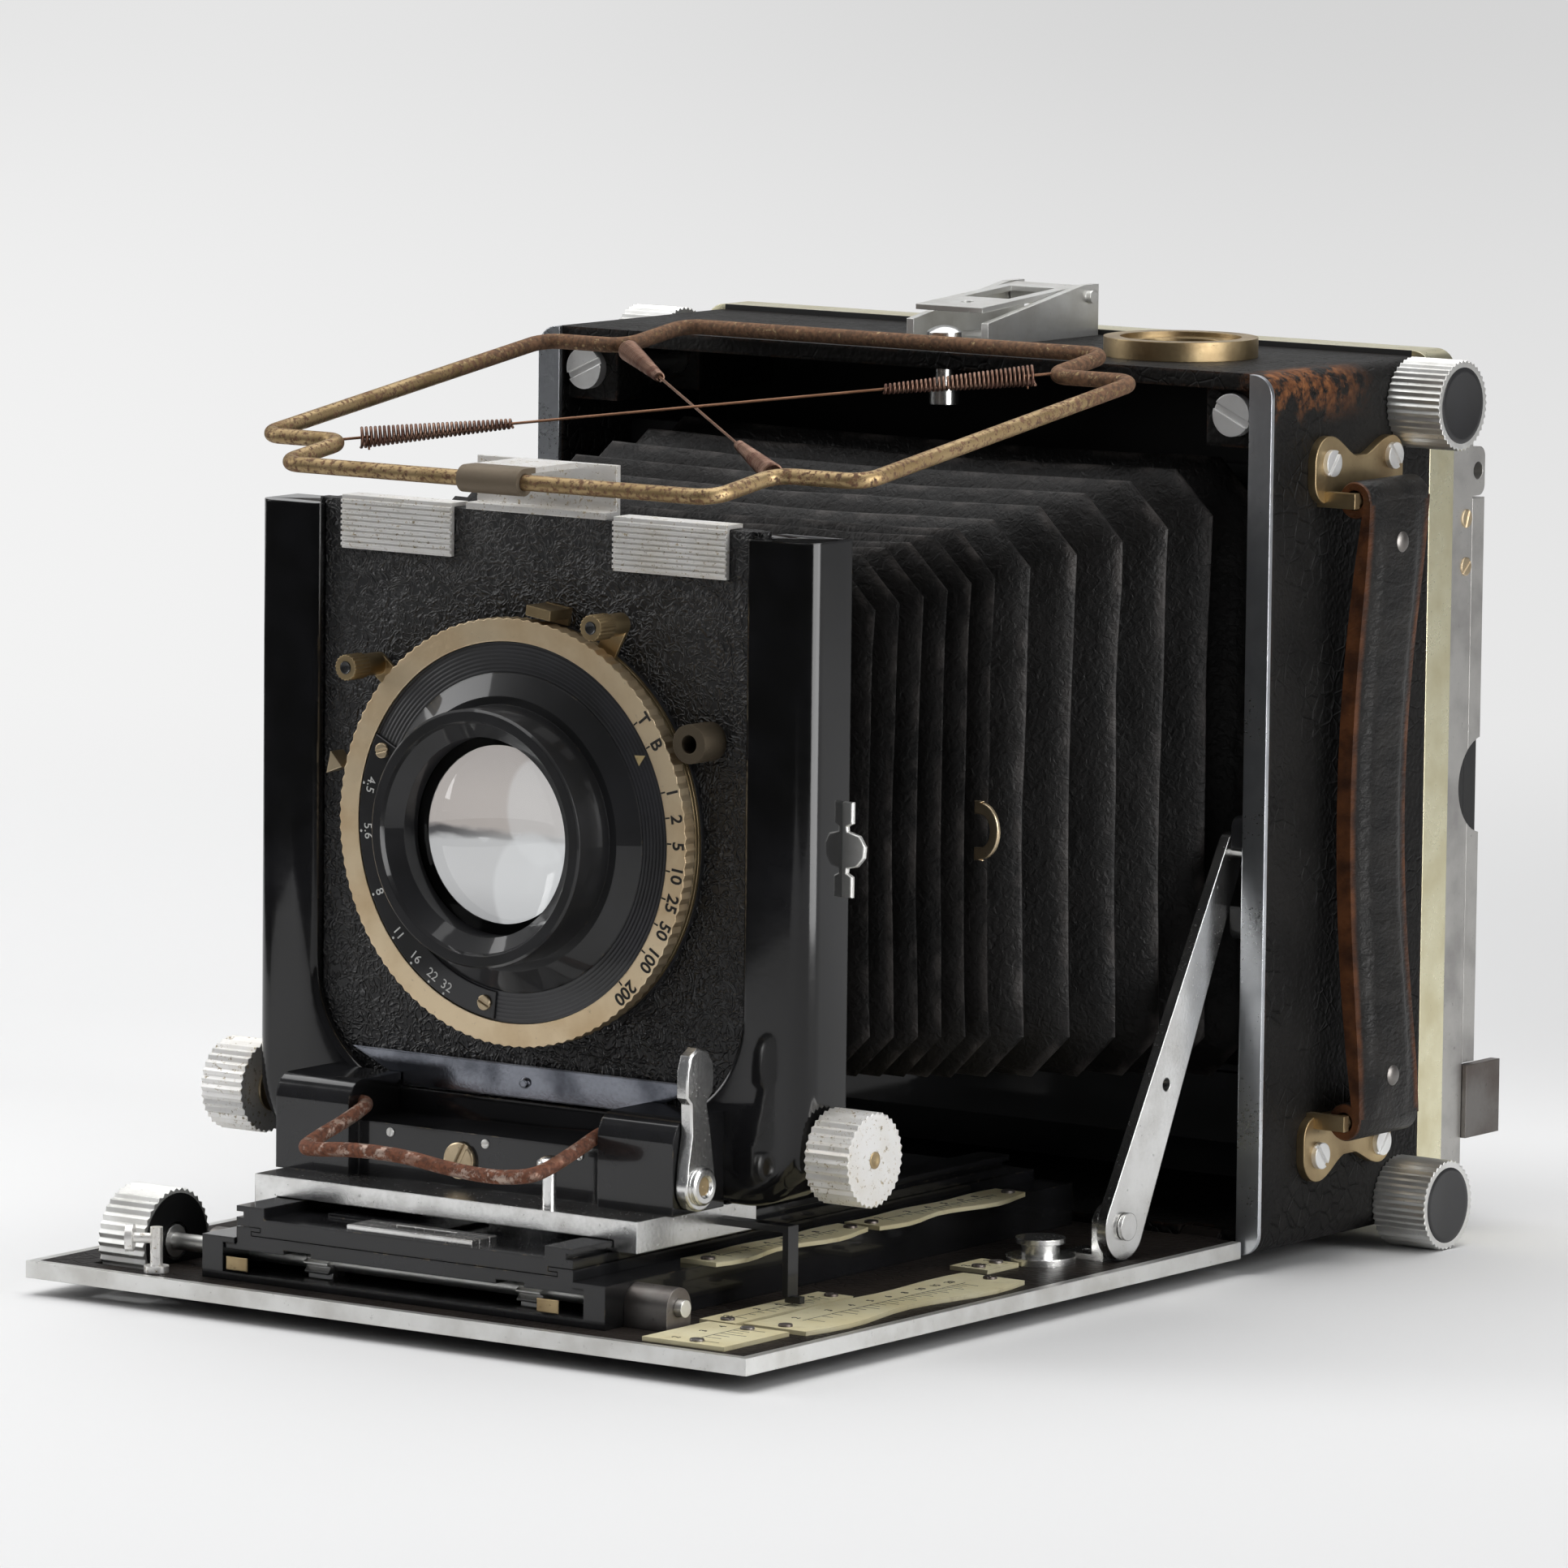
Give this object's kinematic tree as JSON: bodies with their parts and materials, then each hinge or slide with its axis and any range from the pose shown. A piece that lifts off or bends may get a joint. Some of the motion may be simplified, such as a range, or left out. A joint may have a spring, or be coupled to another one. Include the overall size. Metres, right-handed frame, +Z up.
{
  "type": "folding press camera",
  "caption": "Folding press camera with a drop bed, sliding rack-focused tracks, rising lens panel, rim-set shutter, leather bellows, hinged wire finder and an extension back.",
  "frame": {"origin": "centre of the tripod bush, at its mouth, on the surface the camera stands on", "axes": "+X to the right seen from in front of the lens, +Y from the lens towards the back, +Z up"},
  "size_m": [0.1838, 0.2365, 0.1708],
  "materials": {
    "leatherette": "black grained leather covering, worn brown at the edges",
    "strap_leather": "thick black strap leather with brown cut edges",
    "bellows_leather": "thin black pleated leather, cracked at the folds",
    "bright_nickel": "bright nickel plate, lightly spotted",
    "warm_nickel": "cream nickel plate gone warm with age",
    "champagne": "champagne nickel on brass",
    "old_brass": "worn dull brass",
    "black_enamel": "gloss black enamel",
    "black_matt": "matt black paint",
    "grey_metal": "grey sheet metal, satin",
    "dark_steel": "dark worn steel",
    "rusty_wire": "nickel wire gone brown with rust",
    "copper_wire": "dull copper-coloured wire",
    "ivory": "ivory-coloured scale plate",
    "lens_glass": "polished lens glass",
    "ground_glass": "ground glass"
  },
  "bodies": {
    "body": {"body_shell": "leatherette", "front_trim": "bright_nickel", "slotted_screws": "bright_nickel", "strap_brackets": "old_brass", "straps": "strap_leather", "sight_base": "bright_nickel", "accessory_ring": "old_brass", "bellows_frame": "black_matt", "hinge_pins": "bright_nickel", "strut_guides": "black_matt", "bellows": "bellows_leather"},
    "sight_leaf": {"peep_leaf": "bright_nickel"},
    "bed_release": {"release_button": "bright_nickel"},
    "back": {"back_frame": "warm_nickel", "back_rods": "bright_nickel", "light_sleeve": "black_matt", "back_plate": "grey_metal", "focusing_screen": "ground_glass"},
    "lid": {"screen_lid": "grey_metal"},
    "latch": {"back_latch": "dark_steel"},
    "knob_upper_right": {"clamp_knob_upper_right": "bright_nickel"},
    "knob_upper_left": {"clamp_knob_upper_left": "bright_nickel"},
    "knob_lower_right": {"clamp_knob_lower_right": "bright_nickel"},
    "knob_lower_left": {"clamp_knob_lower_left": "bright_nickel"},
    "bed": {"bed_plate": "leatherette", "bed_trim": "bright_nickel", "tripod_bush": "bright_nickel", "base_rail": "black_enamel", "scale_plates": "ivory", "strut_brackets": "bright_nickel", "stop_button": "bright_nickel", "pinion_bearings": "bright_nickel"},
    "strut_pair": {"struts": "bright_nickel"},
    "focus_drive": {"focus_pinion": "bright_nickel"},
    "lock": {"focus_lock": "bright_nickel"},
    "lower_track": {"focus_track": "black_enamel"},
    "extension_track": {"upper_track": "black_enamel"},
    "standard": {"carriage_bar": "bright_nickel", "carriage_block": "black_enamel", "standard_frame": "black_enamel", "scale_pointer": "black_matt"},
    "draw_bail": {"bail": "rusty_wire"},
    "carriage_lever": {"clamp_lever": "bright_nickel"},
    "rise_drive": {"rise_pinion": "bright_nickel"},
    "lens_panel": {"lens_board": "leatherette", "panel_rail": "bright_nickel", "finder_bracket": "warm_nickel", "shutter_case": "black_enamel", "shutter_fittings": "old_brass", "lens_barrel": "black_enamel", "lens_glass": "lens_glass"},
    "clip_right": {"board_clip_right": "bright_nickel"},
    "clip_left": {"board_clip_left": "bright_nickel"},
    "speed": {"speed_ring": "champagne"},
    "aperture": {"aperture_ring": "old_brass"},
    "cocking": {"cocking_lever": "old_brass"},
    "release": {"release_lever": "old_brass"},
    "finder": {"wire_frame": "rusty_wire", "cross_springs": "rusty_wire", "cross_wires": "copper_wire"}
  },
  "joints": [
    {"name": "bed_drop", "type": "hinge", "parent": "body", "child": "bed", "pos_m": [0, 0.0787, 0.0054], "axis": [1, 0, 0], "range_deg": [0, 15], "deforming": ["bellows"]},
    {"name": "strut_swing", "type": "hinge", "parent": "bed", "child": "strut_pair", "pos_m": [0, 0.0455, 0.0122], "axis": [1, 0, 0], "range_deg": [-17, 1]},
    {"name": "focus_slide", "type": "slide", "parent": "bed", "child": "lower_track", "axis": [0, -1, 0], "range_m": [0, 0.045], "deforming": ["bellows"]},
    {"name": "focus_turn", "type": "hinge", "parent": "bed", "child": "focus_drive", "pos_m": [0, -0.0607, 0.00975], "axis": [1, 0, 0], "range_deg": [-5, 865]},
    {"name": "lock_turn", "type": "hinge", "parent": "bed", "child": "lock", "pos_m": [-0.0525, -0.0712, 0.006], "axis": [0, 0, 1], "range_deg": [0, 40]},
    {"name": "track_extension", "type": "slide", "parent": "lower_track", "child": "extension_track", "axis": [0, -1, 0], "range_m": [0, 0.06], "deforming": ["bellows"]},
    {"name": "standard_slide", "type": "slide", "parent": "extension_track", "child": "standard", "axis": [0, -1, 0], "range_m": [0, 0.015], "deforming": ["bellows"]},
    {"name": "bail_swing", "type": "hinge", "parent": "standard", "child": "draw_bail", "pos_m": [0, -0.0457, 0.0355], "axis": [-1, 0, 0], "range_deg": [-15, 80]},
    {"name": "lever_turn", "type": "hinge", "parent": "standard", "child": "carriage_lever", "pos_m": [0.043, -0.0447, 0.0279], "axis": [1, 0, 0], "range_deg": [0, 60]},
    {"name": "rise", "type": "slide", "parent": "standard", "child": "lens_panel", "axis": [0, 0, 1], "range_m": [0, 0.009], "deforming": ["bellows"]},
    {"name": "rise_turn", "type": "hinge", "parent": "standard", "child": "rise_drive", "pos_m": [0, -0.02845, 0.0329], "axis": [1, 0, 0], "range_deg": [-2, 175]},
    {"name": "clip_right_lift", "type": "slide", "parent": "lens_panel", "child": "clip_right", "axis": [0, 0, 1], "range_m": [0, 0.004]},
    {"name": "clip_left_lift", "type": "slide", "parent": "lens_panel", "child": "clip_left", "axis": [0, 0, 1], "range_m": [0, 0.004]},
    {"name": "speed_turn", "type": "hinge", "parent": "lens_panel", "child": "speed", "pos_m": [0, -0.039, 0.0845], "axis": [0, -1, 0], "range_deg": [-10, 75]},
    {"name": "aperture_turn", "type": "hinge", "parent": "lens_panel", "child": "aperture", "pos_m": [0, -0.039, 0.0845], "axis": [0, -1, 0], "range_deg": [0, 95]},
    {"name": "cocking_turn", "type": "hinge", "parent": "lens_panel", "child": "cocking", "pos_m": [0, -0.039, 0.0845], "axis": [0, -1, 0], "range_deg": [-22, 0]},
    {"name": "release_press", "type": "hinge", "parent": "lens_panel", "child": "release", "pos_m": [0, -0.039, 0.0845], "axis": [0, -1, 0], "range_deg": [-12, 0], "stiffness_Nm_per_rad": 0.05},
    {"name": "finder_swing", "type": "hinge", "parent": "lens_panel", "child": "finder", "pos_m": [0, -0.04475, 0.1463], "axis": [1, 0, 0], "range_deg": [0, 82]},
    {"name": "leaf_swing", "type": "hinge", "parent": "body", "child": "sight_leaf", "pos_m": [0, 0.1253, 0.1686], "axis": [-1, 0, 0], "range_deg": [0, 90]},
    {"name": "bed_release_press", "type": "slide", "parent": "body", "child": "bed_release", "axis": [0, 0, -1], "range_m": [0, 0.0018], "stiffness_N_per_m": 300},
    {"name": "back_extension", "type": "slide", "parent": "body", "child": "back", "axis": [0, 1, 0], "range_m": [0, 0.025]},
    {"name": "lid_swing", "type": "hinge", "parent": "back", "child": "lid", "pos_m": [-0.076, 0.15065, 0.08235], "axis": [0, 0, 1], "range_deg": [0, 120]},
    {"name": "latch_slide", "type": "slide", "parent": "back", "child": "latch", "axis": [0, 0, -1], "range_m": [0, 0.005]},
    {"name": "knob_upper_right_turn", "type": "hinge", "parent": "body", "child": "knob_upper_right", "pos_m": [0.086, 0.1223, 0.1537], "axis": [1, 0, 0], "range_deg": [0, 270]},
    {"name": "knob_upper_left_turn", "type": "hinge", "parent": "body", "child": "knob_upper_left", "pos_m": [-0.086, 0.1223, 0.1537], "axis": [1, 0, 0], "range_deg": [0, 270]},
    {"name": "knob_lower_right_turn", "type": "hinge", "parent": "body", "child": "knob_lower_right", "pos_m": [0.086, 0.1223, 0.0082], "axis": [1, 0, 0], "range_deg": [0, 270]},
    {"name": "knob_lower_left_turn", "type": "hinge", "parent": "body", "child": "knob_lower_left", "pos_m": [-0.086, 0.1223, 0.0082], "axis": [1, 0, 0], "range_deg": [0, 270]}
  ],
  "couplings": [
    {"joint": "strut_swing", "follows": "bed_drop", "ratio": -1.038},
    {"joint": "focus_turn", "follows": "focus_slide", "rad_per_m": 333.33},
    {"joint": "rise_turn", "follows": "rise", "rad_per_m": 333.33}
  ]
}
